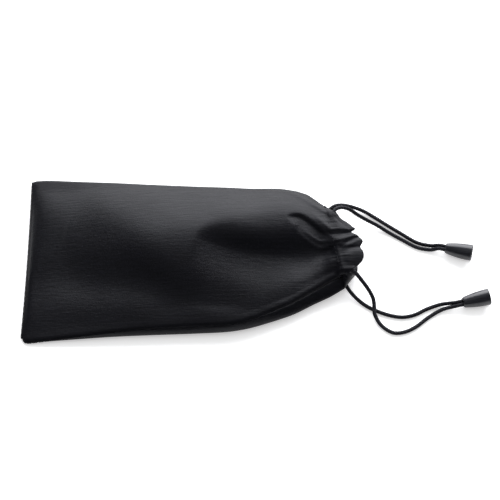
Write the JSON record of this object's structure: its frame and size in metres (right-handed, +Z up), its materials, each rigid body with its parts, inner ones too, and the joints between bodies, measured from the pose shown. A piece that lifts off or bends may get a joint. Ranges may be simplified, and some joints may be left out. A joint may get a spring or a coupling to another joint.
{
  "type": "soft pouch glasses case",
  "caption": "Soft satin-weave drawstring pouch for glasses, lying flat with its mouth drawn in, braided drawcords and plastic cord bells.",
  "frame": {"origin": "middle of the pouch's underside, on the surface that it lies on, halfway from the bottom seam to the lip", "axes": "+X from the bottom seam to the mouth, +Y to the far side, +Z up through the front panel"},
  "size_m": [0.2395, 0.0976, 0.021],
  "materials": {
    "satin_cloth": "black satin-weave synthetic cloth with fine slubs along the length and a soft sheen",
    "hem_cloth": "the same black cloth, folded and gathered",
    "seam_cloth": "matte back side of the black cloth",
    "thread": "fine black sewing thread with a slight sheen",
    "braided_cord": "braided black cord with a dull sheen on each strand",
    "bell_plastic": "semi-gloss black moulded plastic with a fine parting line",
    "plug_plastic": "semi-gloss black moulded plastic"
  },
  "bodies": {
    "pouch": {"front_panel": "satin_cloth", "back_panel": "satin_cloth", "front_hem": "hem_cloth", "back_hem": "hem_cloth", "near_side_seam": "seam_cloth", "far_side_seam": "seam_cloth", "bottom_seam": "seam_cloth", "front_hem_stitching": "thread", "back_hem_stitching": "thread", "near_seam_stitching": "thread", "far_seam_stitching": "thread", "bottom_seam_stitching": "thread", "near_slit_tack": "thread", "far_slit_tack": "thread", "near_cord_turn": "braided_cord", "far_cord_turn": "braided_cord"},
    "near_drawcord": {"near_front_strand": "braided_cord", "near_back_strand": "braided_cord", "near_knot": "braided_cord"},
    "near_bell_body": {"near_bell": "bell_plastic"},
    "near_plug": {"near_bell_plug": "plug_plastic"},
    "far_drawcord": {"far_front_strand": "braided_cord", "far_back_strand": "braided_cord", "far_knot": "braided_cord"},
    "far_bell_body": {"far_bell": "bell_plastic"},
    "far_plug": {"far_bell_plug": "plug_plastic"}
  },
  "joints": [
    {"name": "near_pull", "type": "slide", "parent": "pouch", "child": "near_drawcord", "axis": [0.1736, -0.9848, 0], "range_m": [0, 0.02]},
    {"name": "near_bell_turn", "type": "hinge", "parent": "near_drawcord", "child": "near_bell_body", "pos_m": [0.138, -0.0318, 0.00337], "axis": [0.9792, 0.1903, 0.0698], "range_deg": [-90, 90]},
    {"name": "near_plug_out", "type": "slide", "parent": "near_bell_body", "child": "near_plug", "axis": [0.9792, 0.1903, 0.0698], "range_m": [0, 0.008]},
    {"name": "far_pull", "type": "slide", "parent": "pouch", "child": "far_drawcord", "axis": [-0.1736, 0.9848, 0], "range_m": [0, 0.02]},
    {"name": "far_bell_turn", "type": "hinge", "parent": "far_drawcord", "child": "far_bell_body", "pos_m": [0.1317, 0.0008, 0.00337], "axis": [0.9589, -0.275, 0.0698], "range_deg": [-90, 90]},
    {"name": "far_plug_out", "type": "slide", "parent": "far_bell_body", "child": "far_plug", "axis": [0.9589, -0.275, 0.0698], "range_m": [0, 0.008]}
  ]
}
